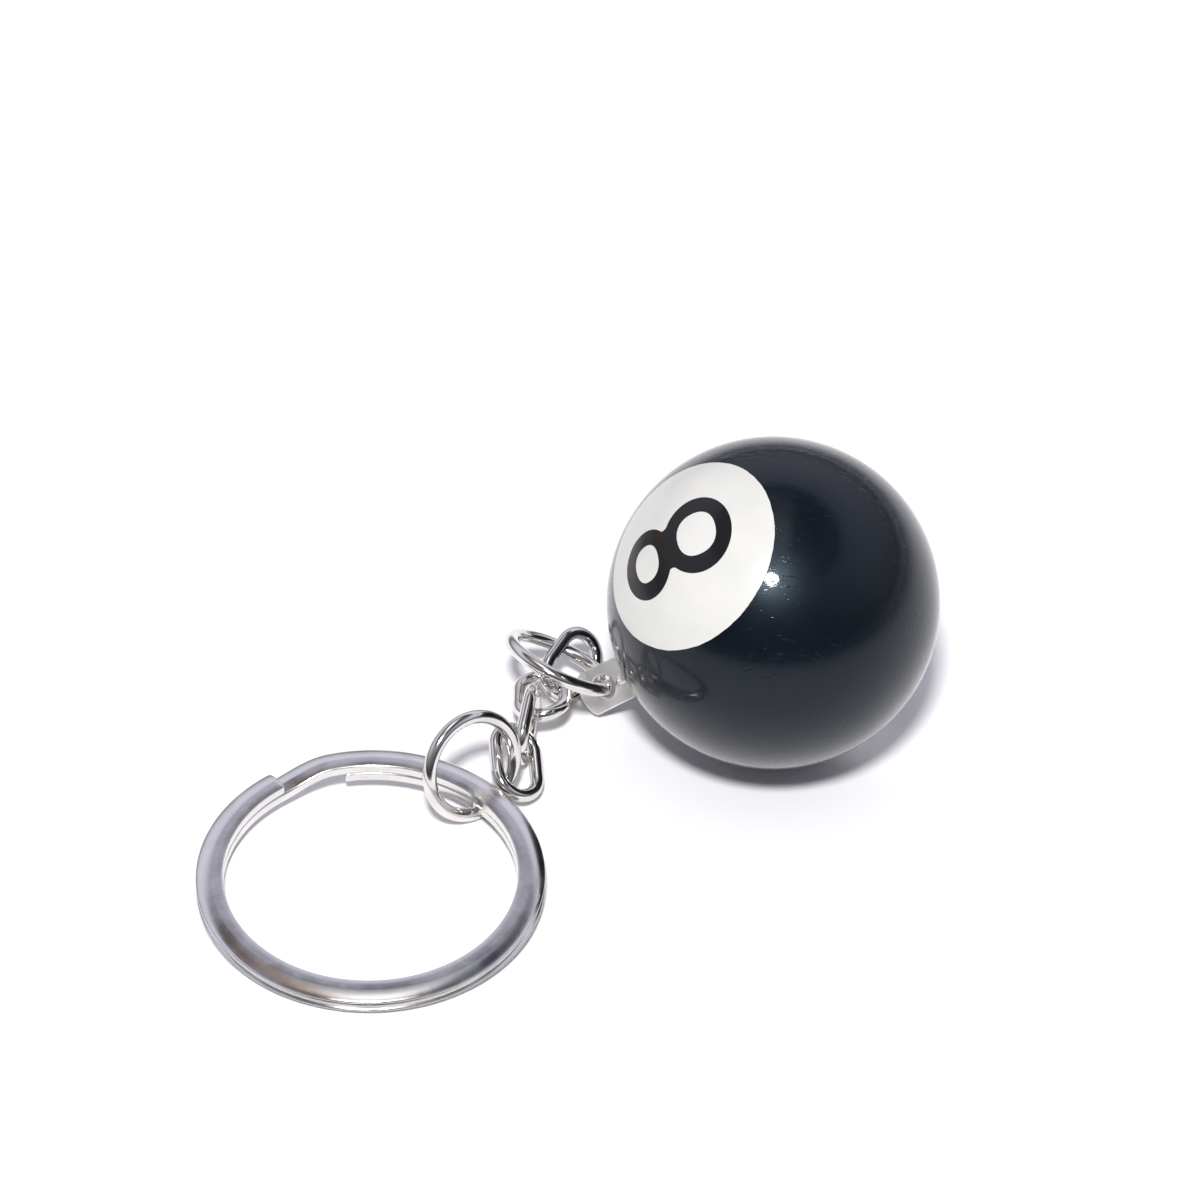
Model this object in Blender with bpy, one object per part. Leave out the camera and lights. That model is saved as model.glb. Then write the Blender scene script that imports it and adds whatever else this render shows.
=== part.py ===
"""Numbered pool ball on a key chain: a 25 mm black ball with inlaid number
discs, a flat eye tab set in the ball, and a short chain of two jump rings and
four oval links that ends in a double-coil split key ring.

Everything is in metres with +Z up.  The object lies at rest on the plane
z = 0: the ball and the tip of its tab touch the surface and the chain lies in
a short heap between the ball and the key ring.
"""
import math

import bmesh
import bpy
from mathutils import Matrix, Vector

# ---------------------------------------------------------------- dimensions
MM = 0.001

# where the ball's contact point lies from the middle of the whole object
ORIGIN_SHIFT = (14.942, 9.965)         # mm, X and Y

# ball
BALL_R = 12.5                         # mm, 25 mm ball
BALL_SEGMENTS = 40                    # facets round the number axis
POCKET_DEPTH = 0.62                   # pocket for each inlaid number disc
DISC_ANGLE = 36.4                     # degrees from disc centre to its rim
DISC_AZ = 207.5                       # heading of the front disc's axis
DISC_EL = 46.4                        # its elevation

# number disc and numeral
DISC_THICK = 0.56
DISC_GAP = 0.06                       # running gap between disc and pocket
NUMERAL_DEPTH = 0.25
NUMERAL_GAP = 0.04
NUMERAL_ROLL = 4.5                    # the numeral is set slightly off true
BIG_BOWL = (-1.90, 2.79, 3.15)        # centre, half height, half width
SMALL_BOWL = (2.78, 2.42, 2.80)
BIG_EYE = (-1.93, 1.59, 1.78)
SMALL_EYE = (2.80, 1.21, 1.48)
BOWL_BLEND = 2.6                      # how softly the two bowls meet
EYE_POWER = 2.25                      # slightly squared counters

# eye tab
TAB_AZ = 174.4                        # heading of the tab's length
TAB_EL = -38.6                        # it slopes down to the surface
TAB_WIDTH_DIR = (0.461, -0.605, -0.650)
TAB_WIDTH = 3.42
TAB_THICK = 0.72
TAB_TIP = 18.1                        # from the ball's centre
TAB_ROOT = 11.6
TAB_HOLE_AT = 15.94
TAB_HOLE_R = 0.95
TAB_END_R = 3.0                       # radius of the tab's rounded end
SLOT_CLEAR = 0.06
SHANK_R = 0.95
SHANK_CLEAR = 0.07
SHANK_END = 7.2                       # the shank's inner end
SHANK_BARBS = 4
BOSS_AT = 14.25                       # small staking boss on the tab's face
BOSS_R = 0.42
BOSS_RISE = 0.22

# wire pieces
RING_WIRE_R = 0.53                    # jump rings, 1.06 mm wire
LINK_WIRE_R = 0.50                    # oval links, 1.0 mm wire
TAB_RING_R = 4.00                     # centreline radii of the jump rings
KEY_RING_R = 3.84
JUMP_GAP = 1.6                        # degrees of open butt joint
LINK_LENGTH = 6.60                    # outside
LINK_WIDTH = 4.50
WIRE_SIDES = 8
RING_STEPS = 34
LINK_ARC_STEPS = 9

# split key ring
SPLIT_R = 12.945                      # outside radius
SPLIT_W = 2.036                       # radial width of the flattened wire
SPLIT_T = 0.765                       # thickness of one coil
SPLIT_GAP = 0.05                      # space between the coils
SPLIT_CORNER = 0.30
SPLIT_LOW_END = 102.0                 # heading of the lower free end
SPLIT_JOG = 128.0                     # the wire climbs from here ...
SPLIT_JOG_SPAN = 21.0                 # ... over this much turn
SPLIT_TOP_END = 128.0                 # heading of the upper free end
SPLIT_CENTRE = (-29.444, -19.403, 0.06)
SPLIT_TILT = (0.012, 0.050)           # rise towards +X and +Y
SPLIT_STEP = 7.5                      # degrees per segment

# where each wire piece lies: centre (mm, from the ball's contact point), the
# heading and elevation of its flat side's normal, and the turn of its length
LIE = {
    "tab_jump_ring": ((-15.96, 1.83, 4.33), 42.9, 55.2, 200.0),
    "chain_link_1": ((-15.06, 3.98, 2.13), -38.8, 37.1, 14.1),
    "chain_link_2": ((-17.23, 0.35, 2.27), 129.5, 76.4, 52.1),
    "chain_link_3": ((-18.24, -3.40, 2.68), -9.5, -0.9, -163.7),
    "chain_link_4": ((-18.97, -7.26, 2.36), -23.5, 54.9, -144.6),
    "key_jump_ring": ((-22.24, -9.73, 4.16), -51.6, 18.4, 170.0),
}

SHIFT = Vector((ORIGIN_SHIFT[0], ORIGIN_SHIFT[1], 0.0))
BALL_C = Vector((0.0, 0.0, BALL_R)) + SHIFT


# ------------------------------------------------------------------- helpers
def direction(az, el):
    a, e = math.radians(az), math.radians(el)
    return Vector((math.cos(e) * math.cos(a), math.cos(e) * math.sin(a),
                   math.sin(e)))


def axes_matrix(x, y, z, origin):
    m = Matrix((x, y, z)).transposed().to_4x4()
    m.translation = origin
    return m


def material(name, colour, rough, metal, coat=0.0):
    mat = bpy.data.materials.new(name)
    mat.use_nodes = True
    b = mat.node_tree.nodes["Principled BSDF"]
    b.inputs["Base Color"].default_value = (*colour, 1.0)
    b.inputs["Roughness"].default_value = rough
    b.inputs["Metallic"].default_value = metal
    b.inputs["Coat Weight"].default_value = coat
    mat.diffuse_color = (*colour, 1.0)
    return mat


def make_object(name, bm, matrix=None, mat=None):
    """A mesh in millimetres becomes an object in metres."""
    if matrix is not None:
        bm.transform(matrix)
    bm.transform(Matrix.Scale(MM, 4))
    bmesh.ops.recalc_face_normals(bm, faces=bm.faces)
    mesh = bpy.data.meshes.new(name)
    bm.to_mesh(mesh)
    bm.free()
    mesh.shade_smooth()
    mesh.set_sharp_from_angle(angle=math.radians(35))
    obj = bpy.data.objects.new(name, mesh)
    bpy.context.scene.collection.objects.link(obj)
    if mat is not None:
        mesh.materials.append(mat)
    return obj


def boolean(obj, other, operation):
    """Cut, join or cross obj with other, then drop the other piece."""
    mod = obj.modifiers.new("bool", "BOOLEAN")
    mod.solver = "EXACT"
    mod.operation = operation
    mod.object = other
    bpy.context.view_layer.update()
    dg = bpy.context.evaluated_depsgraph_get()
    mesh = bpy.data.meshes.new_from_object(obj.evaluated_get(dg))
    obj.modifiers.clear()
    old = obj.data
    mats = [m for m in old.materials]
    obj.data = mesh
    mesh.materials.clear()
    for m in mats:
        mesh.materials.append(m)
    bpy.data.meshes.remove(old)
    bpy.data.objects.remove(other)
    bm = bmesh.new()
    bm.from_mesh(mesh)
    bmesh.ops.remove_doubles(bm, verts=bm.verts, dist=2e-7)
    bmesh.ops.dissolve_degenerate(bm, dist=1e-7, edges=bm.edges)
    for f in bm.faces:
        f.material_index = 0
    bm.to_mesh(mesh)
    bm.free()
    mesh.name = obj.name
    mesh.shade_smooth()
    mesh.set_sharp_from_angle(angle=math.radians(35))


def lathe(profile, segments):
    """Turn (radius, height) points round Z; end points at radius 0 close it."""
    bm = bmesh.new()
    rows = []
    for r, z in profile:
        if r < 1e-9:
            rows.append([bm.verts.new((0.0, 0.0, z))])
        else:
            rows.append([bm.verts.new((r * math.cos(2 * math.pi * i / segments),
                                       r * math.sin(2 * math.pi * i / segments),
                                       z)) for i in range(segments)])
    for a, b in zip(rows, rows[1:]):
        for i in range(segments):
            j = (i + 1) % segments
            if len(a) == 1:
                bm.faces.new((a[0], b[i], b[j]))
            elif len(b) == 1:
                bm.faces.new((a[i], b[0], a[j]))
            else:
                bm.faces.new((a[i], b[i], b[j], a[j]))
    return bm


def sphere_arc(radius, start, stop, steps):
    out = []
    for i in range(steps + 1):
        t = math.radians(start + (stop - start) * i / steps)
        out.append((max(radius * math.sin(t), 0.0), radius * math.cos(t)))
    if start == 0:
        out[0] = (0.0, radius)
    if stop == 180:
        out[-1] = (0.0, -radius)
    return out


def prism(points, z0, z1):
    """A closed upright prism on a simple outline."""
    bm = bmesh.new()
    low = [bm.verts.new((x, y, z0)) for x, y in points]
    top = [bm.verts.new((x, y, z1)) for x, y in points]
    n = len(points)
    bm.faces.new(list(reversed(low)))
    bm.faces.new(top)
    for i in range(n):
        j = (i + 1) % n
        bm.faces.new((low[i], low[j], top[j], top[i]))
    return bm


def sweep(path, section, closed):
    """Run a section (out, up) along stations (point, out, up)."""
    bm = bmesh.new()
    rows = [[bm.verts.new(p + o * s + u * t) for s, t in section]
            for p, o, u in path]
    n = len(section)
    pairs = list(zip(rows, rows[1:]))
    if closed:
        pairs.append((rows[-1], rows[0]))
    for a, b in pairs:
        for i in range(n):
            j = (i + 1) % n
            bm.faces.new((a[i], a[j], b[j], b[i]))
    if not closed:
        bm.faces.new(list(reversed(rows[0])))
        bm.faces.new(rows[-1])
    return bm


def round_section(radius):
    return [(radius * math.cos(2 * math.pi * (i + 0.5) / WIRE_SIDES),
             radius * math.sin(2 * math.pi * (i + 0.5) / WIRE_SIDES))
            for i in range(WIRE_SIDES)]


def ring_path(radius, gap):
    """Stations round an open jump ring whose butt joint faces local +X."""
    up = Vector((0, 0, 1))
    out = []
    for i in range(RING_STEPS + 1):
        t = math.radians(gap / 2 + (360 - gap) * i / RING_STEPS)
        o = Vector((math.cos(t), math.sin(t), 0))
        out.append((o * radius, o, up))
    return out


def link_path(length, width):
    """Stations round an oval link: two half circles and two straights."""
    up = Vector((0, 0, 1))
    r = width / 2
    s = (length - width) / 2
    out = []
    for side in (1, -1):
        for i in range(LINK_ARC_STEPS + 1):
            t = math.radians(-90 + 180 * i / LINK_ARC_STEPS)
            o = Vector((side * math.cos(t), side * math.sin(t), 0))
            out.append((Vector((side * s, 0, 0)) + o * r, o, up))
    return out


def lie_matrix(name):
    """Local X along the piece's length, Z along its flat side's normal."""
    centre, az, el, turn = LIE[name]
    n = direction(az, el)
    level = Vector((0, 0, 1)).cross(n).normalized()
    rise = n.cross(level)
    t = math.radians(turn)
    x = level * math.cos(t) + rise * math.sin(t)
    return axes_matrix(x, n.cross(x), n, Vector(centre) + SHIFT)


# ---------------------------------------------------------------- clean start
for old in list(bpy.data.objects):
    bpy.data.objects.remove(old)

M_BLACK = material("ball_black", (0.006, 0.007, 0.010), 0.08, 0.0, 1.0)
M_WHITE = material("number_white", (0.80, 0.80, 0.78), 0.16, 0.0, 0.8)
M_NUMBER = material("numeral_black", (0.020, 0.019, 0.021), 0.14, 0.0, 0.8)
M_TAB = material("tab_nickel", (0.66, 0.64, 0.60), 0.16, 1.0)
M_JUMP = material("jump_ring_nickel", (0.68, 0.67, 0.66), 0.09, 1.0)
M_LINK = material("link_nickel", (0.68, 0.67, 0.66), 0.09, 1.0)
M_SPLIT = material("split_ring_nickel", (0.66, 0.65, 0.64), 0.13, 1.0)

# ---------------------------------------------------------------------- ball
TAB_DIR = direction(TAB_AZ, TAB_EL)
NUM_DIR = direction(DISC_AZ, DISC_EL)
NUM_UP = (TAB_DIR - NUM_DIR * TAB_DIR.dot(NUM_DIR)).normalized()
NUM_SIDE = NUM_UP.cross(NUM_DIR)
# local X is the numeral's up, local Z the way out of the ball
ball_frame = axes_matrix(NUM_UP, NUM_DIR.cross(NUM_UP), NUM_DIR, BALL_C)
rear_frame = axes_matrix(NUM_UP, -NUM_DIR.cross(NUM_UP), -NUM_DIR, BALL_C)

floor_r = BALL_R - POCKET_DEPTH
profile = (sphere_arc(floor_r, 0, DISC_ANGLE, 3)
           + sphere_arc(BALL_R, DISC_ANGLE, 180 - DISC_ANGLE, 14)
           + sphere_arc(floor_r, 180 - DISC_ANGLE, 180, 3))
ball = make_object("ball_body", lathe(profile, BALL_SEGMENTS), ball_frame,
                   M_BLACK)

# ------------------------------------------------------------------- eye tab
width_dir = Vector(TAB_WIDTH_DIR)
width_dir = (width_dir - TAB_DIR * width_dir.dot(TAB_DIR)).normalized()
tab_frame = axes_matrix(TAB_DIR, width_dir, TAB_DIR.cross(width_dir), BALL_C)


def tab_outline(grow, root, tip):
    """Strip with a gently rounded end, long side along local X."""
    h = TAB_WIDTH / 2 + grow
    sag = TAB_END_R - math.sqrt(TAB_END_R ** 2 - h ** 2)
    half = math.asin(h / TAB_END_R)
    cx = tip - TAB_END_R
    pts = [(root, h), (root, -h)]
    if grow > 0:
        return pts + [(tip, -h), (tip, h)]
    for i in range(13):
        t = -half + 2 * half * i / 12
        pts.append((cx + TAB_END_R * math.cos(t), TAB_END_R * math.sin(t)))
    return pts


def turned_along_x(profile, segments, frame):
    """Turned piece whose axis is the frame's X."""
    bm = lathe(profile, segments)
    bm.transform(Matrix.Rotation(math.radians(90), 4, "Y"))
    bm.transform(frame)
    return bm


slot = make_object("slot_cutter", prism(tab_outline(SLOT_CLEAR,
                                                    TAB_ROOT - 0.15, 14.0),
                                        -TAB_THICK / 2 - SLOT_CLEAR,
                                        TAB_THICK / 2 + SLOT_CLEAR), tab_frame)
boolean(ball, slot, "DIFFERENCE")
bore_r = SHANK_R + SHANK_CLEAR
bore = make_object("bore_cutter", turned_along_x(
    [(0, SHANK_END - 0.3), (bore_r, SHANK_END - 0.3), (bore_r, 14.0),
     (0, 14.0)], 20, tab_frame))
boolean(ball, bore, "DIFFERENCE")

tab = make_object("eye_tab", prism(tab_outline(0.0, TAB_ROOT, TAB_TIP),
                                   -TAB_THICK / 2, TAB_THICK / 2), tab_frame,
                  M_TAB)
barb = []
for i in range(SHANK_BARBS):
    x0 = SHANK_END + 0.45 + i * 0.85
    barb += [(SHANK_R - 0.20, x0), (SHANK_R, x0 + 0.55)]
shank = make_object("shank", turned_along_x(
    [(0, SHANK_END), (SHANK_R - 0.35, SHANK_END)] + barb
    + [(SHANK_R - 0.20, TAB_ROOT - 0.35), (SHANK_R, TAB_ROOT - 0.1),
       (SHANK_R, TAB_ROOT + 0.55), (0.0, TAB_ROOT + 0.55)], 16, tab_frame))
boolean(tab, shank, "UNION")
boss_frame = tab_frame @ Matrix.Translation((BOSS_AT, 0, 0))
boss = make_object("boss", lathe(
    [(0, -TAB_THICK * 0.3), (BOSS_R, -TAB_THICK * 0.3),
     (BOSS_R, TAB_THICK / 2 + BOSS_RISE * 0.55),
     (BOSS_R * 0.72, TAB_THICK / 2 + BOSS_RISE),
     (0, TAB_THICK / 2 + BOSS_RISE)], 16), boss_frame)
boolean(tab, boss, "UNION")
eye = make_object("eye_cutter", lathe(
    [(0, -2), (TAB_HOLE_R, -2), (TAB_HOLE_R, 2), (0, 2)], 28),
    tab_frame @ Matrix.Translation((TAB_HOLE_AT, 0, 0)))
boolean(tab, eye, "DIFFERENCE")


# -------------------------------------------------- number discs and numerals
def bowl_width(u, bowl):
    c, h, w = bowl
    k = 1.0 - ((u - c) / h) ** 2
    return w * math.sqrt(k) if k > 0 else 0.0


def eight_outline(shrink):
    """Outer edge of the figure: two bowls blended at the waist."""
    big = (BIG_BOWL[0], BIG_BOWL[1] - shrink, BIG_BOWL[2] - shrink)
    small = (SMALL_BOWL[0], SMALL_BOWL[1] - shrink, SMALL_BOWL[2] - shrink)
    waist = 0.62
    t_small = math.acos((waist - small[0]) / small[1])
    t_big = math.acos((big[0] - waist) / -big[1])
    us = [small[0] + small[1] * math.cos(t_small * i / 9) for i in range(10)]
    us += [big[0] + big[1] * math.cos(t_big + (math.pi - t_big) * i / 10)
           for i in range(1, 11)]
    side = []
    for u in us:
        w = (bowl_width(u, big) ** BOWL_BLEND
             + bowl_width(u, small) ** BOWL_BLEND) ** (1 / BOWL_BLEND)
        side.append((u, w))
    side[0] = (side[0][0], 0.0)
    side[-1] = (side[-1][0], 0.0)
    return side + [(u, -w) for u, w in reversed(side[1:-1])]


def counter_outline(eye_dims, grow):
    c, h, w = eye_dims
    pts = []
    for i in range(18):
        t = 2 * math.pi * i / 18
        ct, st = math.cos(t), math.sin(t)
        p = 2 / EYE_POWER
        pts.append((c + (h + grow) * math.copysign(abs(ct) ** p, ct),
                    (w + grow) * math.copysign(abs(st) ** p, st)))
    return pts


def eight_prism(name, frame, shrink):
    roll = Matrix.Rotation(math.radians(NUMERAL_ROLL), 4, "Z")
    fig = make_object(name, prism(eight_outline(shrink), 9.0, 14.0),
                      frame @ roll)
    for eye_dims in (BIG_EYE, SMALL_EYE):
        hole = make_object("counter", prism(counter_outline(eye_dims, shrink),
                                            8.0, 15.0), frame @ roll)
        boolean(fig, hole, "DIFFERENCE")
    return fig


def cap_shell(name, frame, outer, inner, half_angle, mat=None):
    rows = (sphere_arc(outer, 0, half_angle, 4)
            + list(reversed(sphere_arc(inner, 0, half_angle, 3))))
    return make_object(name, lathe(rows, BALL_SEGMENTS), frame, mat)


for place, frame in (("front", ball_frame), ("rear", rear_frame)):
    rim = DISC_ANGLE - math.degrees(DISC_GAP / BALL_R)
    disc = cap_shell("number_disc_" + place, frame, BALL_R,
                     BALL_R - DISC_THICK, rim, M_WHITE)
    recess = eight_prism("recess", frame, 0.0)
    above = cap_shell("above", frame, BALL_R + 1.2, BALL_R - NUMERAL_DEPTH,
                      30.0)
    boolean(recess, above, "INTERSECT")
    boolean(disc, recess, "DIFFERENCE")
    numeral = eight_prism("numeral_" + place, frame, NUMERAL_GAP)
    numeral.data.materials.append(M_NUMBER)
    skin = cap_shell("skin", frame, BALL_R,
                     BALL_R - NUMERAL_DEPTH + NUMERAL_GAP, 30.0)
    boolean(numeral, skin, "INTERSECT")

# ---------------------------------------------------------------- wire pieces
wires = {}
for name, radius in (("tab_jump_ring", TAB_RING_R),
                     ("key_jump_ring", KEY_RING_R)):
    wires[name] = make_object(
        name, sweep(ring_path(radius, JUMP_GAP), round_section(RING_WIRE_R),
                    False), lie_matrix(name), M_JUMP)
for i in range(1, 5):
    name = "chain_link_%d" % i
    wires[name] = make_object(
        name, sweep(link_path(LINK_LENGTH - 2 * LINK_WIRE_R,
                              LINK_WIDTH - 2 * LINK_WIRE_R),
                    round_section(LINK_WIRE_R), True),
        lie_matrix(name), M_LINK)


# ------------------------------------------------------------ split key ring
def flat_section():
    """Flattened wire: rounded inner and outer edges, flat faces."""
    hw, ht, c = SPLIT_W / 2, SPLIT_T / 2, SPLIT_CORNER
    pts = []
    for sx, sy, a0 in ((1, 1, 0), (-1, 1, 90), (-1, -1, 180), (1, -1, 270)):
        for k in range(2):
            a = math.radians(a0 + 22.5 + 45 * k)
            pts.append((sx * (hw - c) + c * math.cos(a),
                        sy * (ht - c) + c * math.sin(a)))
    return pts


def split_path():
    """One wire: a lower turn, a short climb, then an upper turn."""
    mid = SPLIT_R - SPLIT_W / 2
    pitch = SPLIT_T + SPLIT_GAP
    low = SPLIT_T / 2
    start = SPLIT_LOW_END
    climb = SPLIT_JOG - 360.0
    end = SPLIT_TOP_END - 720.0
    stops = []
    for a0, a1, step in ((start, climb, SPLIT_STEP),
                         (climb, climb - SPLIT_JOG_SPAN, 3.5),
                         (climb - SPLIT_JOG_SPAN, end, SPLIT_STEP)):
        n = max(1, round((a0 - a1) / step))
        stops += [a0 + (a1 - a0) * i / n for i in range(n)]
    stops.append(end)
    out = []
    up = Vector((0, 0, 1))
    for a in stops:
        k = min(max((climb - a) / SPLIT_JOG_SPAN, 0.0), 1.0)
        k = k * k * (3 - 2 * k)
        t = math.radians(a)
        o = Vector((math.cos(t), math.sin(t), 0))
        out.append((o * mid + up * (low + pitch * k), o, up))
    return out


tilt_z = Vector((-SPLIT_TILT[0], -SPLIT_TILT[1], 1.0)).normalized()
tilt_x = (Vector((1, 0, 0)) - tilt_z * tilt_z.x).normalized()
lift = SPLIT_R * math.hypot(*SPLIT_TILT)
split_frame = axes_matrix(tilt_x, tilt_z.cross(tilt_x), tilt_z,
                          Vector(SPLIT_CENTRE) + Vector((0, 0, lift)) + SHIFT)
wires["split_ring"] = make_object(
    "split_ring", sweep(list(reversed(split_path())), flat_section(), False),
    split_frame, M_SPLIT)


# ---------------------------------------------------------------- hinge lines
def centreline(name):
    """World points along a wire piece's centreline, in order round it."""
    if name == "tab_jump_ring":
        path = ring_path(TAB_RING_R, JUMP_GAP)
    elif name == "key_jump_ring":
        path = ring_path(KEY_RING_R, JUMP_GAP)
    else:
        path = link_path(LINK_LENGTH - 2 * LINK_WIRE_R,
                         LINK_WIDTH - 2 * LINK_WIRE_R)
    m = lie_matrix(name)
    return [m @ p for p, o, u in path]


def hinge_line(parent, child):
    """Where the parent's wire runs through the child: a point on that wire
    and the wire's own direction there, which is what the child turns on."""
    if child == "split_ring":
        centre = split_frame @ Vector((0, 0, SPLIT_T + SPLIT_GAP / 2))
        normal = tilt_z
    else:
        m = lie_matrix(child)
        centre = m.translation
        normal = m.col[2].to_3d()
    pts = centreline(parent)
    best = None
    for a, b in zip(pts, pts[1:] + pts[:1]):
        ha, hb = (a - centre).dot(normal), (b - centre).dot(normal)
        if ha * hb <= 0 and ha != hb:
            q = a + (b - a) * (ha / (ha - hb))
            d = (q - centre).length
            if best is None or d < best[0]:
                best = (d, q, (b - a).normalized())
    return best[1], best[2]


def empty(name, point, axis, parent):
    """A pivot whose local Z lies along the hinge line."""
    e = bpy.data.objects.new(name, None)
    e.empty_display_size = 0.003
    bpy.context.scene.collection.objects.link(e)
    e.matrix_world = (Matrix.Translation(point * MM)
                      @ axis.to_track_quat("Z", "Y").to_matrix().to_4x4())
    adopt(e, parent)
    return e


def adopt(obj, parent):
    if parent is not None:
        bpy.context.view_layer.update()
        obj.parent = parent
        obj.matrix_parent_inverse = parent.matrix_world.inverted()


root = empty("ball_root", BALL_C, NUM_DIR, None)
for obj in list(bpy.data.objects):
    if obj.name.startswith(("ball_body", "number", "numeral", "eye_tab")):
        adopt(obj, root)
hole_point = tab_frame @ Vector((TAB_HOLE_AT, 0, 0))
pivot = empty("pivot_tab_jump_ring", hole_point,
              tab_frame.col[2].to_3d().normalized(), root)
adopt(wires["tab_jump_ring"], pivot)
chain = ["tab_jump_ring", "chain_link_1", "chain_link_2", "chain_link_3",
         "chain_link_4", "key_jump_ring", "split_ring"]
for held, hanging in zip(chain, chain[1:]):
    point, axis = hinge_line(held, hanging)
    pivot = empty("pivot_" + hanging, point, axis, pivot)
    adopt(wires[hanging], pivot)
bpy.context.view_layer.update()
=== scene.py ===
import math

import bmesh
import bpy
from mathutils import Matrix, Vector


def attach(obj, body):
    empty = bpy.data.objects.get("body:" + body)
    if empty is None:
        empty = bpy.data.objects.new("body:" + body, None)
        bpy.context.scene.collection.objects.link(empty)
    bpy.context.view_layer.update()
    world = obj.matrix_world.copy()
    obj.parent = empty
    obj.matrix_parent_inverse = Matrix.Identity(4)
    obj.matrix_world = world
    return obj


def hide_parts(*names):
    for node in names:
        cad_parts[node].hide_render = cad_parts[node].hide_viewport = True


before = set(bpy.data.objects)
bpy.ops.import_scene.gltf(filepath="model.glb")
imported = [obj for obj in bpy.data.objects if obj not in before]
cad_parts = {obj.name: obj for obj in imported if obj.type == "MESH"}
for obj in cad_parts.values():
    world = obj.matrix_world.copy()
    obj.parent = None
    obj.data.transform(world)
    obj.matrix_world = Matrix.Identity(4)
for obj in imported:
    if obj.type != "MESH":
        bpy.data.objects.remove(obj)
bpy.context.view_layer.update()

MM = 0.001
SHIFT = Vector((14.942, 9.965, 0.0))
BALL_R = 12.5
BALL_C = Vector((0, 0, BALL_R)) + SHIFT


# ------------------------------------------------------------------ geometry
def direction(az, el):
    a, e = math.radians(az), math.radians(el)
    return Vector((math.cos(e) * math.cos(a), math.cos(e) * math.sin(a),
                   math.sin(e)))


def axes_matrix(x, y, z, origin):
    m = Matrix((x, y, z)).transposed().to_4x4()
    m.translation = origin
    return m


TAB_DIR = direction(174.4, -38.6)
NUM_DIR = direction(207.5, 46.4)
NUM_UP = (TAB_DIR - NUM_DIR * TAB_DIR.dot(NUM_DIR)).normalized()
ball_frame = axes_matrix(NUM_UP, NUM_DIR.cross(NUM_UP), NUM_DIR, BALL_C)
rear_frame = axes_matrix(NUM_UP, -NUM_DIR.cross(NUM_UP), -NUM_DIR, BALL_C)
width_dir = Vector((0.461, -0.605, -0.650))
width_dir = (width_dir - TAB_DIR * width_dir.dot(TAB_DIR)).normalized()
tab_frame = axes_matrix(TAB_DIR, width_dir, TAB_DIR.cross(width_dir), BALL_C)


def piece(name, bm, matrix, mat, smooth=True, angle=None):
    if matrix is not None:
        bm.transform(matrix)
    bm.transform(Matrix.Scale(MM, 4))
    bmesh.ops.recalc_face_normals(bm, faces=bm.faces)
    mesh = bpy.data.meshes.new(name)
    bm.to_mesh(mesh)
    bm.free()
    if smooth:
        mesh.shade_smooth()
        if angle:
            mesh.set_sharp_from_angle(angle=math.radians(angle))
    obj = bpy.data.objects.new(name, mesh)
    bpy.context.scene.collection.objects.link(obj)
    if mat is not None:
        mesh.materials.append(mat)
    return obj


def boolean(obj, other, operation):
    mod = obj.modifiers.new("bool", "BOOLEAN")
    mod.solver = "EXACT"
    mod.operation = operation
    mod.object = other
    bpy.context.view_layer.update()
    dg = bpy.context.evaluated_depsgraph_get()
    mesh = bpy.data.meshes.new_from_object(obj.evaluated_get(dg))
    obj.modifiers.clear()
    old = obj.data
    mats = [m for m in old.materials]
    obj.data = mesh
    mesh.materials.clear()
    for m in mats:
        mesh.materials.append(m)
    bpy.data.meshes.remove(old)
    bpy.data.objects.remove(other)
    bm = bmesh.new()
    bm.from_mesh(mesh)
    bmesh.ops.remove_doubles(bm, verts=bm.verts, dist=1e-7)
    for f in bm.faces:
        f.material_index = 0
    bm.to_mesh(mesh)
    bm.free()
    mesh.shade_smooth()


def apply_modifiers(obj):
    bpy.context.view_layer.update()
    dg = bpy.context.evaluated_depsgraph_get()
    mesh = bpy.data.meshes.new_from_object(obj.evaluated_get(dg))
    obj.modifiers.clear()
    old = obj.data
    obj.data = mesh
    bpy.data.meshes.remove(old)


def lathe(profile, segments):
    bm = bmesh.new()
    rows = []
    for r, z in profile:
        if r < 1e-9:
            rows.append([bm.verts.new((0.0, 0.0, z))])
        else:
            rows.append([bm.verts.new((r * math.cos(2 * math.pi * i / segments),
                                       r * math.sin(2 * math.pi * i / segments),
                                       z)) for i in range(segments)])
    for a, b in zip(rows, rows[1:]):
        for i in range(segments):
            j = (i + 1) % segments
            if len(a) == 1:
                bm.faces.new((a[0], b[i], b[j]))
            elif len(b) == 1:
                bm.faces.new((a[i], b[0], a[j]))
            else:
                bm.faces.new((a[i], b[i], b[j], a[j]))
    return bm


def sphere_arc(radius, start, stop, steps):
    out = []
    for i in range(steps + 1):
        t = math.radians(start + (stop - start) * i / steps)
        out.append((max(radius * math.sin(t), 0.0), radius * math.cos(t)))
    if start == 0:
        out[0] = (0.0, radius)
    if stop == 180:
        out[-1] = (0.0, -radius)
    return out


def prism(points, z0, z1):
    bm = bmesh.new()
    low = [bm.verts.new((x, y, z0)) for x, y in points]
    top = [bm.verts.new((x, y, z1)) for x, y in points]
    n = len(points)
    bm.faces.new(list(reversed(low)))
    bm.faces.new(top)
    for i in range(n):
        j = (i + 1) % n
        bm.faces.new((low[i], low[j], top[j], top[i]))
    return bm


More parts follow.
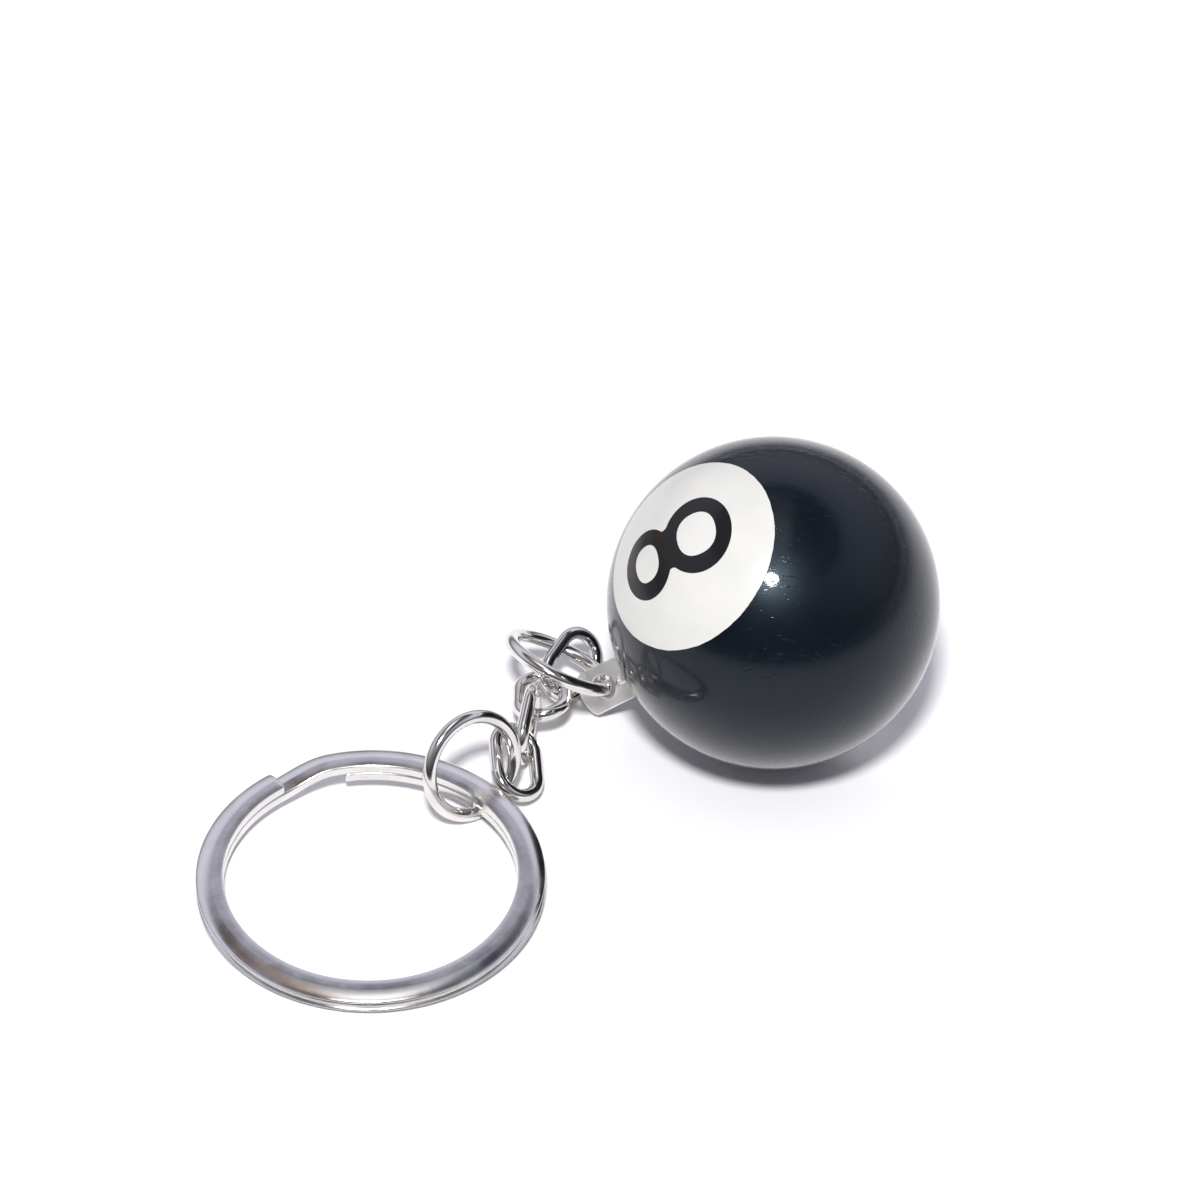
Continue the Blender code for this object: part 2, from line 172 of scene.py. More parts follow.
def sweep(path, section, closed, ends=None):
    """section(k) gives the section's points for station k."""
    bm = bmesh.new()
    rows = []
    for k, (p, o, u) in enumerate(path):
        sec = section(k) if callable(section) else section
        rows.append([bm.verts.new(p + o * s + u * t) for s, t in sec])
    n = len(rows[0])
    pairs = list(zip(rows, rows[1:]))
    if closed:
        pairs.append((rows[-1], rows[0]))
    for a, b in pairs:
        for i in range(n):
            j = (i + 1) % n
            bm.faces.new((a[i], a[j], b[j], b[i]))
    if not closed:
        bm.faces.new(list(reversed(rows[0])))
        bm.faces.new(rows[-1])
    return bm


def radial_normals(obj, centre, low, high):
    """Exact ball normals on the faces that lie on the ball's surface."""
    mesh = obj.data
    c = centre * MM
    normals = [None] * len(mesh.loops)
    for poly in mesh.polygons:
        d = poly.center - c
        on_ball = (low * MM < d.length < high * MM
                   and poly.normal.dot(d.normalized()) > 0.8)
        for li in poly.loop_indices:
            v = mesh.vertices[mesh.loops[li].vertex_index].co
            normals[li] = ((v - c).normalized() if on_ball
                           else poly.normal.copy())
    mesh.normals_split_custom_set(normals)


# ----------------------------------------------------------------- materials
def new_material(name):
    mat = bpy.data.materials.new(name)
    mat.use_nodes = True
    nt = mat.node_tree
    b = nt.nodes["Principled BSDF"]
    return mat, nt, b


def node(nt, kind, **values):
    n = nt.nodes.new(kind)
    for k, v in values.items():
        if k in n.inputs:
            n.inputs[k].default_value = v
        else:
            setattr(n, k, v)
    return n


def ramp(nt, source, stops, out="Color"):
    r = nt.nodes.new("ShaderNodeValToRGB")
    els = r.color_ramp.elements
    while len(els) > 1:
        els.remove(els[-1])
    els[0].position, els[0].color = stops[0][0], stops[0][1]
    for p, c in stops[1:]:
        e = els.new(p)
        e.color = c
    nt.links.new(source, r.inputs["Fac"])
    return r.outputs[out]


def grey(v):
    return (v, v, v, 1.0)


def gloss_black():
    """Polished cast resin: near-black navy, with hairline scuffs."""
    mat, nt, b = new_material("ball_black_resin")
    co = node(nt, "ShaderNodeTexCoord").outputs["Object"]
    big = node(nt, "ShaderNodeTexNoise", Scale=90.0, Detail=3.0)
    nt.links.new(co, big.inputs["Vector"])
    col = ramp(nt, big.outputs["Fac"],
               [(0.30, (0.0012, 0.0030, 0.0056, 1)),
                (0.70, (0.0022, 0.0044, 0.0084, 1))])
    nt.links.new(col, b.inputs["Base Color"])
    # scuffs: fine specks and short hairlines in the polish
    speck = node(nt, "ShaderNodeTexVoronoi", Scale=4200.0)
    speck.feature = "F1"
    nt.links.new(co, speck.inputs["Vector"])
    warp = node(nt, "ShaderNodeMapping")
    warp.inputs["Rotation"].default_value = (0.6, 0.3, 0.9)
    warp.inputs["Scale"].default_value = (900.0, 7500.0, 900.0)
    nt.links.new(co, warp.inputs["Vector"])
    hair = node(nt, "ShaderNodeTexNoise", Scale=1.0, Detail=2.0,
                Roughness=0.6)
    nt.links.new(warp.outputs["Vector"], hair.inputs["Vector"])
    pits = ramp(nt, speck.outputs["Distance"],
                [(0.0, grey(1.0)), (0.16, grey(0.0))])
    lines = ramp(nt, hair.outputs["Fac"],
                 [(0.62, grey(0.0)), (0.72, grey(1.0))])
    mix = node(nt, "ShaderNodeMath", operation="ADD")
    nt.links.new(pits, mix.inputs[0])
    nt.links.new(lines, mix.inputs[1])
    patch = node(nt, "ShaderNodeTexNoise", Scale=160.0, Detail=2.0)
    nt.links.new(co, patch.inputs["Vector"])
    where = ramp(nt, patch.outputs["Fac"],
                 [(0.42, grey(0.15)), (0.62, grey(1.0))])
    amount = node(nt, "ShaderNodeMath", operation="MULTIPLY")
    nt.links.new(mix.outputs[0], amount.inputs[0])
    nt.links.new(where, amount.inputs[1])
    bump = node(nt, "ShaderNodeBump", Strength=0.6, Distance=0.00002)
    nt.links.new(amount.outputs[0], bump.inputs["Height"])
    nt.links.new(bump.outputs["Normal"], b.inputs["Normal"])
    # the polish itself is finely crazed, which breaks up a highlight
    craze = node(nt, "ShaderNodeTexVoronoi", Scale=2600.0)
    craze.feature = "SMOOTH_F1"
    nt.links.new(co, craze.inputs["Vector"])
    grain = node(nt, "ShaderNodeTexNoise", Scale=7000.0, Detail=2.0)
    nt.links.new(co, grain.inputs["Vector"])
    both = node(nt, "ShaderNodeMath", operation="MULTIPLY_ADD")
    nt.links.new(craze.outputs["Distance"], both.inputs[0])
    both.inputs[1].default_value = 0.25
    nt.links.new(lines, both.inputs[2])
    sum_ = node(nt, "ShaderNodeMath", operation="MULTIPLY_ADD")
    nt.links.new(grain.outputs["Fac"], sum_.inputs[0])
    sum_.inputs[1].default_value = 0.30
    nt.links.new(both.outputs[0], sum_.inputs[2])
    top = node(nt, "ShaderNodeBump", Strength=0.8, Distance=0.00001)
    nt.links.new(sum_.outputs[0], top.inputs["Height"])
    nt.links.new(top.outputs["Normal"], b.inputs["Coat Normal"])
    b.inputs["Specular Tint"].default_value = (0.62, 0.82, 1.0, 1.0)
    rough = ramp(nt, patch.outputs["Fac"],
                 [(0.35, grey(0.33)), (0.75, grey(0.42))])
    nt.links.new(rough, b.inputs["Roughness"])
    b.inputs["Coat Weight"].default_value = 1.0
    b.inputs["Coat Roughness"].default_value = 0.055
    b.inputs["Coat IOR"].default_value = 1.25
    b.inputs["Specular IOR Level"].default_value = 0.22
    return mat


def gloss_white():
    """Off-white inlay, faintly mottled, under the same polish."""
    mat, nt, b = new_material("number_white_resin")
    co = node(nt, "ShaderNodeTexCoord").outputs["Object"]
    n = node(nt, "ShaderNodeTexNoise", Scale=260.0, Detail=4.0)
    nt.links.new(co, n.inputs["Vector"])
    col = ramp(nt, n.outputs["Fac"],
               [(0.35, (0.675, 0.68, 0.645, 1)),
                (0.65, (0.72, 0.72, 0.685, 1))])
    nt.links.new(col, b.inputs["Base Color"])
    rough = ramp(nt, n.outputs["Fac"], [(0.3, grey(0.34)), (0.7, grey(0.42))])
    nt.links.new(rough, b.inputs["Roughness"])
    b.inputs["Coat Weight"].default_value = 0.45
    b.inputs["Coat Roughness"].default_value = 0.08
    b.inputs["Coat IOR"].default_value = 1.32
    b.inputs["Specular IOR Level"].default_value = 0.25
    b.inputs["Subsurface Weight"].default_value = 0.0
    return mat


def numeral_black():
    """Black inlay with faint brown patches here and there."""
    mat, nt, b = new_material("numeral_black_resin")
    co = node(nt, "ShaderNodeTexCoord").outputs["Object"]
    n = node(nt, "ShaderNodeTexNoise", Scale=210.0, Detail=2.0)
    nt.links.new(co, n.inputs["Vector"])
    col = ramp(nt, n.outputs["Fac"],
               [(0.38, (0.010, 0.010, 0.012, 1)),
                (0.56, (0.014, 0.011, 0.011, 1)),
                (0.70, (0.032, 0.015, 0.013, 1))])
    nt.links.new(col, b.inputs["Base Color"])
    rough = ramp(nt, n.outputs["Fac"], [(0.3, grey(0.24)), (0.7, grey(0.34))])
    nt.links.new(rough, b.inputs["Roughness"])
    b.inputs["Coat Weight"].default_value = 0.6
    b.inputs["Coat Roughness"].default_value = 0.06
    b.inputs["Coat IOR"].default_value = 1.35
    b.inputs["Specular IOR Level"].default_value = 0.12
    return mat


def nickel(name, colour, rough_low, rough_high, bump_strength, stretch=None,
           scale=1800.0):
    """Bright nickel plate: a fine grain, dull patches, a soft ripple."""
    mat, nt, b = new_material(name)
    co = node(nt, "ShaderNodeTexCoord").outputs["Object"]
    patch = node(nt, "ShaderNodeTexNoise", Scale=420.0, Detail=4.0,
                 Roughness=0.55)
    nt.links.new(co, patch.inputs["Vector"])
    dark = tuple(c * 0.86 for c in colour)
    col = ramp(nt, patch.outputs["Fac"],
               [(0.30, (*dark, 1)), (0.62, (*colour, 1))])
    nt.links.new(col, b.inputs["Base Color"])
    rough = ramp(nt, patch.outputs["Fac"],
                 [(0.35, grey(rough_low)), (0.75, grey(rough_high))])
    nt.links.new(rough, b.inputs["Roughness"])
    fine = node(nt, "ShaderNodeTexNoise", Scale=scale, Detail=3.0,
                Roughness=0.65)
    nt.links.new(co, fine.inputs["Vector"])
    ripple = node(nt, "ShaderNodeTexNoise", Scale=520.0, Detail=1.0)
    nt.links.new(co, ripple.inputs["Vector"])
    add = node(nt, "ShaderNodeMath", operation="MULTIPLY_ADD")
    nt.links.new(ripple.outputs["Fac"], add.inputs[0])
    add.inputs[1].default_value = 2.0
    nt.links.new(fine.outputs["Fac"], add.inputs[2])
    bump = node(nt, "ShaderNodeBump", Strength=bump_strength,
                Distance=0.00002)
    nt.links.new(add.outputs[0], bump.inputs["Height"])
    nt.links.new(bump.outputs["Normal"], b.inputs["Normal"])
    b.inputs["Metallic"].default_value = 1.0
    return mat


M_BLACK = gloss_black()
M_WHITE = gloss_white()
M_NUMBER = numeral_black()
M_TAB = nickel("tab_nickel_plate", (0.97, 0.96, 0.935), 0.32, 0.46, 0.05)
M_WIRE = nickel("wire_nickel_plate", (0.82, 0.80, 0.77), 0.08, 0.17, 0.06)
M_SPLIT = nickel("split_nickel_plate", (0.80, 0.785, 0.77), 0.13, 0.26, 0.14)

# ---------------------------------------------------------------------- ball
ball = piece("ball_shell", lathe(sphere_arc(BALL_R, 0, 180, 120), 200),
             ball_frame, M_BLACK)
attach(ball, "ball")
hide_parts("ball_body")

BIG_BOWL = (-1.90, 2.79, 3.15)
SMALL_BOWL = (2.78, 2.42, 2.80)
BIG_EYE = (-1.93, 1.59, 1.78)
SMALL_EYE = (2.80, 1.21, 1.48)


def bowl_width(u, bowl):
    c, h, w = bowl
    k = 1.0 - ((u - c) / h) ** 2
    return w * math.sqrt(k) if k > 0 else 0.0


def eight_outline():
    waist, blend = 0.62, 2.6
    t_small = math.acos((waist - SMALL_BOWL[0]) / SMALL_BOWL[1])
    t_big = math.acos((BIG_BOWL[0] - waist) / -BIG_BOWL[1])
    us = [SMALL_BOWL[0] + SMALL_BOWL[1] * math.cos(t_small * i / 40)
          for i in range(41)]
    us += [BIG_BOWL[0] + BIG_BOWL[1] * math.cos(t_big + (math.pi - t_big)
                                                * i / 44)
           for i in range(1, 45)]
    side = []
    for u in us:
        side.append((u, (bowl_width(u, BIG_BOWL) ** blend
                         + bowl_width(u, SMALL_BOWL) ** blend) ** (1 / blend)))
    side[0] = (side[0][0], 0.0)
    side[-1] = (side[-1][0], 0.0)
    return side + [(u, -w) for u, w in reversed(side[1:-1])]


def counter_outline(dims):
    c, h, w = dims
    p = 2 / 2.25
    pts = []
    for i in range(72):
        t = 2 * math.pi * i / 72
        ct, st = math.cos(t), math.sin(t)
        pts.append((c + h * math.copysign(abs(ct) ** p, ct),
                    w * math.copysign(abs(st) ** p, st)))
    return pts


def rim_angle(i, n, seed):
    """The disc's edge, a little ragged where the inlay meets the black."""
    t = 2 * math.pi * i / n
    a = 36.4 + 0.05 * math.sin(5 * t + seed) + 0.04 * math.sin(13 * t + seed)
    a += 0.05 * math.sin(41 * t + 2.1 * seed) * math.sin(7 * t + 0.7)
    a += 0.04 * math.sin(97 * t + seed) * max(0.0, math.sin(3 * t + 1.3))
    return a


def disc_cap(seed):
    """Curved cap that stands 5 micrometres proud, so its edge is crisp."""
    seg, rows = 288, 20
    bm = bmesh.new()
    top = [[bm.verts.new((0, 0, BALL_R + 0.005))]]
    for r in range(1, rows + 1):
        ring = []
        for i in range(seg):
            t = math.radians(rim_angle(i, seg, seed) * r / rows)
            a = 2 * math.pi * i / seg
            ring.append(bm.verts.new(((BALL_R + 0.005) * math.sin(t)
                                      * math.cos(a),
                                      (BALL_R + 0.005) * math.sin(t)
                                      * math.sin(a),
                                      (BALL_R + 0.005) * math.cos(t))))
        top.append(ring)
    under = []
    for i in range(seg):
        t = math.radians(rim_angle(i, seg, seed))
        a = 2 * math.pi * i / seg
        under.append(bm.verts.new((12.0 * math.sin(t) * math.cos(a),
                                   12.0 * math.sin(t) * math.sin(a),
                                   12.0 * math.cos(t))))
    top.append(under)
    for a, b in zip(top, top[1:]):
        for i in range(seg):
            j = (i + 1) % seg
            if len(a) == 1:
                bm.faces.new((a[0], b[i], b[j]))
            else:
                bm.faces.new((a[i], b[i], b[j], a[j]))
    bm.faces.new(list(reversed(under)))
    return bm


roll = Matrix.Rotation(math.radians(4.5), 4, "Z")
for place, fr, seed in (("front", ball_frame, 0.4), ("rear", rear_frame, 2.2)):
    disc = piece("number_inlay_" + place, disc_cap(seed), fr, M_WHITE)
    radial_normals(disc, BALL_C, BALL_R - 0.05, BALL_R + 0.1)
    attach(disc, "ball")
    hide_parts("number_disc_" + place)
    fig = piece("numeral_inlay_" + place, prism(eight_outline(), 9.0, 14.0),
                fr @ roll, M_NUMBER)
    for dims in (BIG_EYE, SMALL_EYE):
        boolean(fig, piece("counter", prism(counter_outline(dims), 8.0, 15.0),
                           fr @ roll, None), "DIFFERENCE")
    rows = (sphere_arc(BALL_R + 0.009, 0, 30.0, 30)
            + list(reversed(sphere_arc(BALL_R - 0.12, 0, 30.0, 6))))
    boolean(fig, piece("skin", lathe(rows, 144), fr, None), "INTERSECT")
    radial_normals(fig, BALL_C, BALL_R - 0.02, BALL_R + 0.1)
    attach(fig, "ball")
    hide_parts("numeral_" + place)


# ------------------------------------------------------------------- eye tab
h, end_r, tip = 1.71, 3.0, 18.1


def rounded(points, radius, corners, steps=10):
    """Round the named corners of an outline with arcs of a radius."""
    out = []
    n = len(points)
    for i, p in enumerate(points):
        if i not in corners:
            out.append(p)
            continue
        p = Vector(p)
        a = (Vector(points[i - 1]) - p).normalized()
        b = (Vector(points[(i + 1) % n]) - p).normalized()
        ang = a.angle(b) / 2
        d = radius / math.tan(ang)
        c = p + (a + b).normalized() * radius / math.sin(ang)
        s0, s1 = p + a * d - c, p + b * d - c
        sweep_ = s0.angle_signed(s1)
        for k in range(steps + 1):
            t = -sweep_ * k / steps
            out.append((c.x + s0.x * math.cos(t) - s0.y * math.sin(t),
                        c.y + s0.x * math.sin(t) + s0.y * math.cos(t)))
    return out


half = math.asin(h / end_r)
nose = [(tip - end_r + end_r * math.cos(half * k / 8),
         end_r * math.sin(half * k / 8)) for k in range(-8, 9)]
x_end = nose[0][0]
nose = [p for p in nose if abs(p[1]) < 1.25]
outline = rounded([(11.6, h), (11.6, -h), (x_end, -h)] + nose + [(x_end, h)],
                  0.55, (2, 3 + len(nose)))


def plate(points, eye, eye_r, ht, edge, rays=288):
    """Flat plate with a round eye, both of its rims softly broken."""
    c = Vector(eye)
    rim = []
    for i in range(rays):
        d = Vector((math.cos(2 * math.pi * i / rays),
                    math.sin(2 * math.pi * i / rays)))
        best = 0.0
        for p, q in zip(points, points[1:] + points[:1]):
            p, q = Vector(p) - c, Vector(q) - c
            e = q - p
            den = d.x * e.y - d.y * e.x
            if abs(den) < 1e-12:
                continue
            t = (p.x * e.y - p.y * e.x) / den
            u = (p.x * d.y - p.y * d.x) / den
            if t > 0 and -1e-9 <= u <= 1 + 1e-9:
                best = max(best, t)
        rim.append((d, best))
    rows = []
    for k in range(7):
        t = math.radians(15 * k)
        rows.append((1, -edge * (1 - math.sin(t)), ht - edge * (1 - math.cos(t))))
    top = rows[::-1]
    outer = [(1, o, z) for _, o, z in rows]
    outer_low = [(1, o, -z) for _, o, z in reversed(rows)]
    inner_low = [(0, -o, -z) for _, o, z in rows]
    inner = [(0, -o, z) for _, o, z in reversed(rows)]
    flat_out = [(0.5, 0.0, ht)]
    flat_in = [(0.5, 0.0, -ht)]
    loop = outer + outer_low + flat_in + inner_low + inner + flat_out
    bm = bmesh.new()
    ring = []
    for side_, off, z in loop:
        row = []
        for d, r in rim:
            if side_ == 1:
                p = c + d * (r + off)
            elif side_ == 0:
                p = c + d * (eye_r + off)
            else:
                p = c + d * (0.5 * (r + eye_r))
            row.append(bm.verts.new((p.x, p.y, z)))
        ring.append(row)
    for a_, b_ in zip(ring, ring[1:] + ring[:1]):
        for i in range(rays):
            j = (i + 1) % rays
            bm.faces.new((a_[i], a_[j], b_[j], b_[i]))
    return bm


tab = piece("eye_tab_plate", plate(outline, (15.94, 0.0), 0.95, 0.36, 0.10),
            tab_frame, M_TAB)
w = tab.modifiers.new("flats", "WEIGHTED_NORMAL")
w.weight = 100
apply_modifiers(tab)
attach(tab, "ball")
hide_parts("eye_tab")
boss_profile = [(0, 0.2), (0.42, 0.2), (0.42, 0.44), (0.40, 0.50),
                (0.34, 0.545), (0.26, 0.56), (0.20, 0.53), (0.15, 0.42),
                (0.0, 0.40)]
boss = piece("eye_tab_boss", lathe(boss_profile, 48),
             tab_frame @ Matrix.Translation((14.25, 0, 0)), M_TAB, angle=60)
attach(boss, "ball")

# ---------------------------------------------------------------- wire pieces
LIE = {
    "tab_jump_ring": ((-15.96, 1.83, 4.33), 42.9, 55.2, 200.0),
    "chain_link_1": ((-15.06, 3.98, 2.13), -38.8, 37.1, 14.1),
    "chain_link_2": ((-17.23, 0.35, 2.27), 129.5, 76.4, 52.1),
    "chain_link_3": ((-18.24, -3.40, 2.68), -9.5, -0.9, -163.7),
    "chain_link_4": ((-18.97, -7.26, 2.36), -23.5, 54.9, -144.6),
    "key_jump_ring": ((-22.24, -9.73, 4.16), -51.6, 18.4, 170.0),
}
BODY = {"tab_jump_ring": "tab_ring", "chain_link_1": "link_1",
        "chain_link_2": "link_2", "chain_link_3": "link_3",
        "chain_link_4": "link_4", "key_jump_ring": "key_end_ring"}


def lie_matrix(name):
    centre, az, el, turn = LIE[name]
    n = direction(az, el)
    level = Vector((0, 0, 1)).cross(n).normalized()
    rise = n.cross(level)
    t = math.radians(turn)
    x = level * math.cos(t) + rise * math.sin(t)
    return axes_matrix(x, n.cross(x), n, Vector(centre) + SHIFT)


def ring_stations(radius, gap, steps, wire, start):
    """Open ring whose two ends are slightly rounded over."""
    up = Vector((0, 0, 1))
    angles = [gap / 2 + (360 - gap) * i / steps for i in range(steps + 1)]
    edge = math.degrees(0.10 / radius)
    first = [(gap / 2 + edge * f, s) for f, s in
             ((0.0, 0.80), (0.08, 0.88), (0.3, 0.95), (0.6, 0.985))]
    mid = [(a, 1.0) for a in angles[1:-1]]
    last = [(360 - a, s) for a, s in reversed(first)]
    out = []
    for a, s in first + mid + last:
        t = math.radians(a + start)
        o = Vector((math.cos(t), math.sin(t), 0))
        out.append((o * radius, o, up, s * wire))
    return out


def link_stations(length, width, arc_steps, straight_steps):
    up = Vector((0, 0, 1))
    r = width / 2
    s = (length - width) / 2
    out = []
    for side in (1, -1):
        for i in range(arc_steps + 1):
            t = math.radians(-90 + 180 * i / arc_steps)
            o = Vector((side * math.cos(t), side * math.sin(t), 0))
            out.append((Vector((side * s, 0, 0)) + o * r, o, up))
        a = out[-1][0]
        o = out[-1][1]
        b = a + Vector((-2 * s * side, 0, 0))
        for k in range(1, straight_steps):
            out.append((a.lerp(b, k / straight_steps), o, up))
    return out


def disc_section(radius, n=36):
    return [(radius * math.cos(2 * math.pi * i / n),
             radius * math.sin(2 * math.pi * i / n)) for i in range(n)]


for name, radius, start in (("tab_jump_ring", 4.00, 0.0),
                            ("key_jump_ring", 3.84, 96.0)):
    st = ring_stations(radius, 1.3, 180, 0.53, start)
    bm = sweep([(p, o, u) for p, o, u, w in st],
               lambda k, st=st: disc_section(st[k][3]), False)
    obj = piece(name + "_wire", bm, lie_matrix(name), M_WIRE, angle=40)
    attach(obj, BODY[name])
    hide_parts(name)

for i in range(1, 5):
    name = "chain_link_%d" % i
    st = link_stations(5.6, 3.5, 48, 12)
    bm = sweep(st, disc_section(0.50), True)
    obj = piece(name + "_wire", bm, lie_matrix(name), M_WIRE)
    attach(obj, BODY[name])
    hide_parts(name)

# ------------------------------------------------------------ split key ring
SPLIT_R, SPLIT_W, SPLIT_T, SPLIT_GAP = 12.945, 2.036, 0.765, 0.05


def flat_section(scale=1.0):
    """Pressed wire: square inner side, long crowned slope to the outside."""
    hw, ht = SPLIT_W / 2, SPLIT_T / 2
    crest, corner = 0.12, 0.13
    pts = []
    for i in range(41):
        t = math.radians(90 - 180 * i / 40)
        ct, st = max(math.cos(t), 0.0), math.sin(t)
        pts.append((-crest + (hw + crest) * ct ** 1.25,
                    ht * math.copysign(abs(st) ** 1.15, st)))
    pts += [(-0.50, -ht)]
    for i in range(7):
        t = math.radians(270 - 90 * i / 6)
        pts.append((-hw + corner + corner * math.cos(t),
                    -ht + corner + corner * math.sin(t)))
    for i in range(7):
        t = math.radians(180 - 90 * i / 6)
        pts.append((-hw + corner + corner * math.cos(t),
                    ht - corner + corner * math.sin(t)))
    pts += [(-0.50, ht)]
    return [(x * scale, y * scale) for x, y in pts]


def split_stations():
    mid = SPLIT_R - SPLIT_W / 2
    pitch = SPLIT_T + SPLIT_GAP
    start, climb, span = 102.0, 128.0 - 360.0, 21.0
    end = 128.0 - 720.0
    edge = math.degrees(0.08 / mid)
    stops = [(start, 0.93), (start - edge * 0.4, 0.975), (start - edge, 1.0)]
    for a0, a1, step in ((start - edge, climb, 1.5), (climb, climb - span, 0.7),
                         (climb - span, end + edge, 1.5)):
        n = max(1, round((a0 - a1) / step))
        stops += [(a0 + (a1 - a0) * i / n, 1.0) for i in range(1, n + 1)]
    stops += [(end + edge * 0.4, 0.975), (end, 0.93)]
    up = Vector((0, 0, 1))
    out = []
    for a, s in stops:
        k = min(max((climb - a) / span, 0.0), 1.0)
        k = k * k * (3 - 2 * k)
        t = math.radians(a)
        o = Vector((math.cos(t), math.sin(t), 0))
        out.append((o * mid + up * (SPLIT_T / 2 + pitch * k), o, up, s))
    return out


tilt_z = Vector((-0.012, -0.050, 1.0)).normalized()
tilt_x = (Vector((1, 0, 0)) - tilt_z * tilt_z.x).normalized()
lift = SPLIT_R * math.hypot(0.012, 0.050)
split_frame = axes_matrix(tilt_x, tilt_z.cross(tilt_x), tilt_z,
                          Vector((-29.444, -19.403, 0.06 + lift)) + SHIFT)
st = split_stations()
bm = sweep([(p, o, u) for p, o, u, s in st],
           lambda k, st=st: flat_section(st[k][3]), False)
split = piece("split_ring_wire", bm, split_frame, M_SPLIT, angle=50)
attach(split, "key_ring")
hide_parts("split_ring")

# -------------------------------------------------------------------- studio
floor_mat, nt, b = new_material("studio_floor")
co = node(nt, "ShaderNodeTexCoord").outputs["Object"]
far = node(nt, "ShaderNodeVectorMath", operation="LENGTH")
nt.links.new(co, far.inputs[0])
n = node(nt, "ShaderNodeTexNoise", Scale=6.0, Detail=2.0)
nt.links.new(co, n.inputs["Vector"])
edge = node(nt, "ShaderNodeMath", operation="MULTIPLY_ADD")
nt.links.new(n.outputs["Fac"], edge.inputs[0])
edge.inputs[1].default_value = 0.02
nt.links.new(far.outputs["Value"], edge.inputs[2])
# painted shade: the floor's colour darkens to blue-grey with distance from the
# ball, with a noisy edge, standing in for the light falling off across the floor
col = ramp(nt, edge.outputs[0], [(0.13, (0.94, 0.94, 0.955, 1)),
                                 (0.24, (0.56, 0.60, 0.66, 1)),
                                 (0.45, (0.34, 0.38, 0.44, 1))])
nt.links.new(col, b.inputs["Base Color"])
b.inputs["Roughness"].default_value = 0.9
b.inputs["Specular IOR Level"].default_value = 0.1
bm = bmesh.new()
bmesh.ops.create_circle(bm, cap_ends=True, radius=6000.0, segments=96)
floor = piece("floor", bm, Matrix.Translation((0, 0, -0.01)), floor_mat,
              smooth=False)

# camera: long lens, looking down at about 42 degrees
EL, ROLL = math.radians(41.6), math.radians(1.4)
S0, DIST = 13.352, 600.0
right0 = Vector((1, 0, 0))
up0 = Vector((0, math.sin(EL), math.cos(EL)))
fwd = Vector((0, math.cos(EL), -math.sin(EL)))
right = right0 * math.cos(ROLL) + up0 * math.sin(ROLL)
upv = -right0 * math.sin(ROLL) + up0 * math.cos(ROLL)
eye = (BALL_C - fwd * DIST - right * ((773.35 - 600) / S0)
       - upv * (-(603.0 - 600) / S0))
cam_data = bpy.data.cameras.new("camera")
cam_data.sensor_width = 36.0
cam_data.lens = S0 * DIST / 1200 * 36.0
cam_data.clip_start = 0.01
cam_data.clip_end = 50.0
cam = bpy.data.objects.new("camera", cam_data)
bpy.context.scene.collection.objects.link(cam)
cam.matrix_world = axes_matrix(right, upv, -fwd, eye * MM)
bpy.context.scene.camera = cam


def area(name, toward, distance, size, power, colour, aim=None, size_y=None):
    data = bpy.data.lights.new(name, "AREA")
    data.shape = "RECTANGLE" if size_y else "DISK"
    data.size = size
    if size_y:
        data.size_y = size_y
    data.energy = power
    data.color = colour
    obj = bpy.data.objects.new(name, data)
    bpy.context.scene.collection.objects.link(obj)
    target = (aim or Vector((0, 0, 5.0))) * MM
    obj.location = target + toward.normalized() * distance
    obj.rotation_euler = (-toward).to_track_quat("-Z", "Y").to_euler()
    return obj


key_dir = (-fwd) * 0.957 + upv * 0.285 - right * 0.03
area("key_light", key_dir, 1.3, 0.19, 16.5, (1.0, 0.985, 0.97))

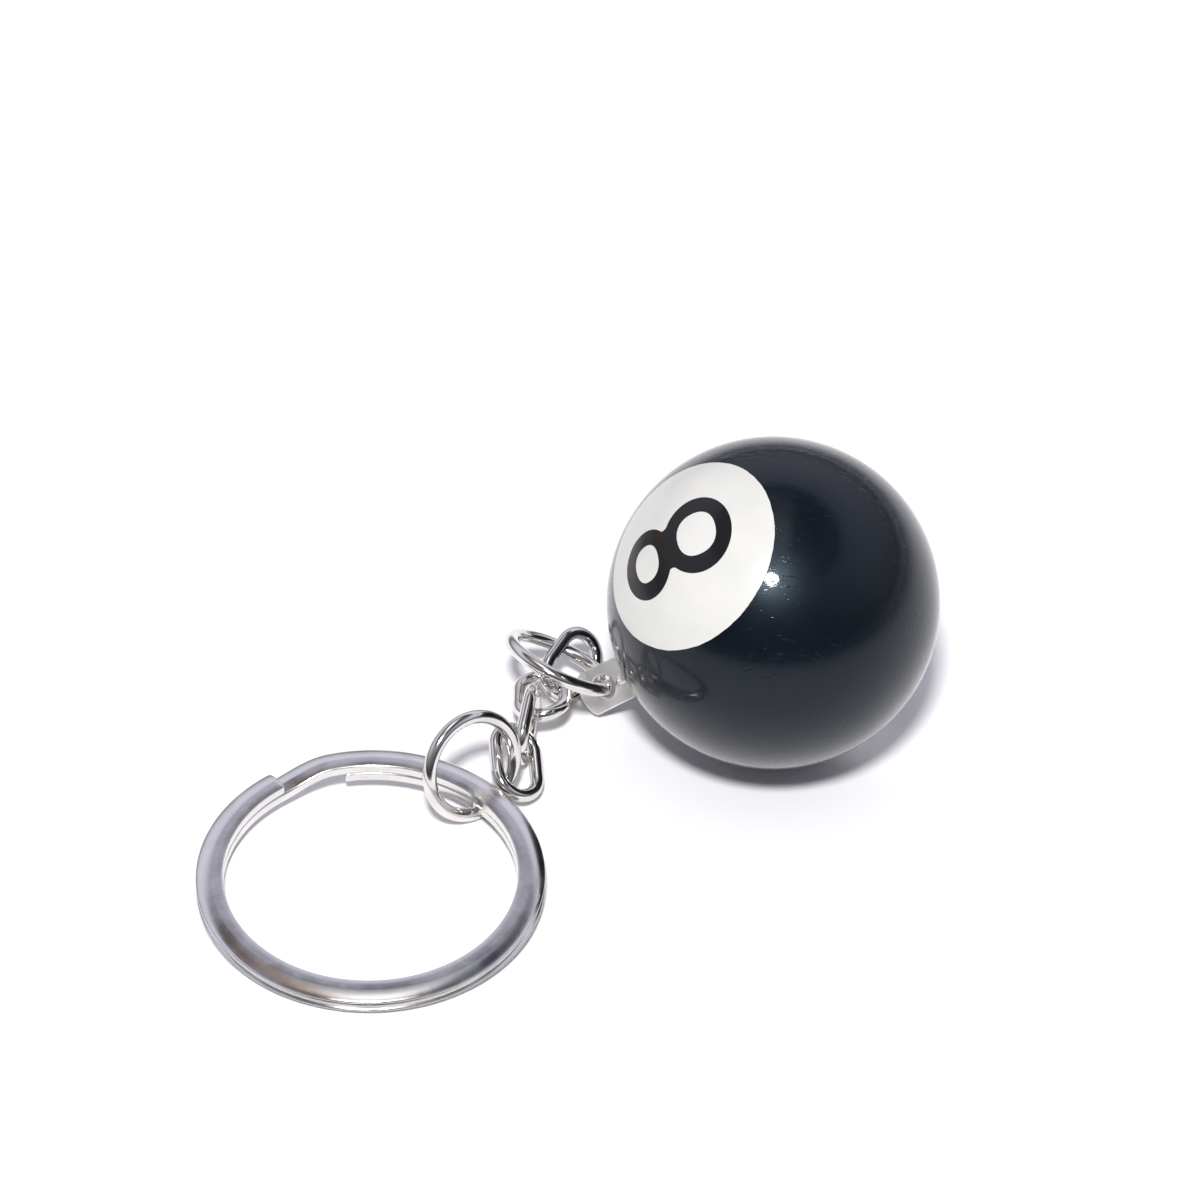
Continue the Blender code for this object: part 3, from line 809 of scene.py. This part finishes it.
# a pale room: bright walls behind, a darker one on the viewer's side
world = bpy.data.worlds.new("studio")
bpy.context.scene.world = world
world.use_nodes = True
wt = world.node_tree
bg = wt.nodes["Background"]
tc = node(wt, "ShaderNodeTexCoord")
sep = node(wt, "ShaderNodeSeparateXYZ")
wt.links.new(tc.outputs["Generated"], sep.inputs["Vector"])
sky = ramp(wt, sep.outputs["Z"],
           [(0.0, (0.38, 0.42, 0.50, 1)), (0.06, (0.42, 0.45, 0.54, 1)),
            (0.11, (0.10, 0.085, 0.075, 1)), (0.19, (0.34, 0.29, 0.24, 1)),
            (0.30, (0.52, 0.52, 0.58, 1)), (0.52, (0.80, 0.81, 0.95, 1)),
            (0.71, (0.78, 0.79, 0.94, 1)), (0.79, (0.13, 0.13, 0.16, 1)),
            (0.88, (0.46, 0.47, 0.54, 1)), (0.95, (0.80, 0.81, 0.86, 1)),
            (1.0, (1.7, 1.7, 1.75, 1))])
side = ramp(wt, sep.outputs["Y"],
            [(0.0, grey(0.16)), (0.15, grey(0.30)), (0.5, grey(0.9)),
             (1.0, grey(1.0))])
remap = node(wt, "ShaderNodeMath", operation="MULTIPLY_ADD")
wt.links.new(sep.outputs["Y"], remap.inputs[0])
remap.inputs[1].default_value = 0.5
remap.inputs[2].default_value = 0.5
wt.links.new(remap.outputs[0],
             side.node.inputs["Fac"])
mul = node(wt, "ShaderNodeMix", data_type="RGBA", blend_type="MULTIPLY")
mul.inputs["Factor"].default_value = 1.0
wt.links.new(sky, mul.inputs["A"])
wt.links.new(side, mul.inputs["B"])
# overhead: a warm-toned patch, a bright panel, then a dark one
across = node(wt, "ShaderNodeMath", operation="MULTIPLY_ADD")
wt.links.new(sep.outputs["X"], across.inputs[0])
across.inputs[1].default_value = 0.5
across.inputs[2].default_value = 0.5
panels = ramp(wt, across.outputs[0],
              [(0.22, (0.80, 0.80, 0.84, 1)), (0.32, (0.44, 0.30, 0.24, 1)),
               (0.40, (0.62, 0.50, 0.42, 1)), (0.45, (1.0, 1.0, 1.0, 1)),
               (0.55, (1.0, 1.0, 1.0, 1)), (0.60, (0.16, 0.17, 0.22, 1)),
               (0.70, (0.12, 0.13, 0.17, 1)), (0.80, (0.75, 0.76, 0.82, 1))])
high = ramp(wt, sep.outputs["Z"], [(0.74, grey(0.0)), (0.84, grey(1.0))])
roof = node(wt, "ShaderNodeMix", data_type="RGBA", blend_type="MULTIPLY")
wt.links.new(high, roof.inputs["Factor"])
wt.links.new(mul.outputs["Result"], roof.inputs["A"])
wt.links.new(panels, roof.inputs["B"])
wt.links.new(roof.outputs["Result"], bg.inputs["Color"])
bg.inputs["Strength"].default_value = 1.0

bpy.context.scene.view_settings.view_transform = "Standard"
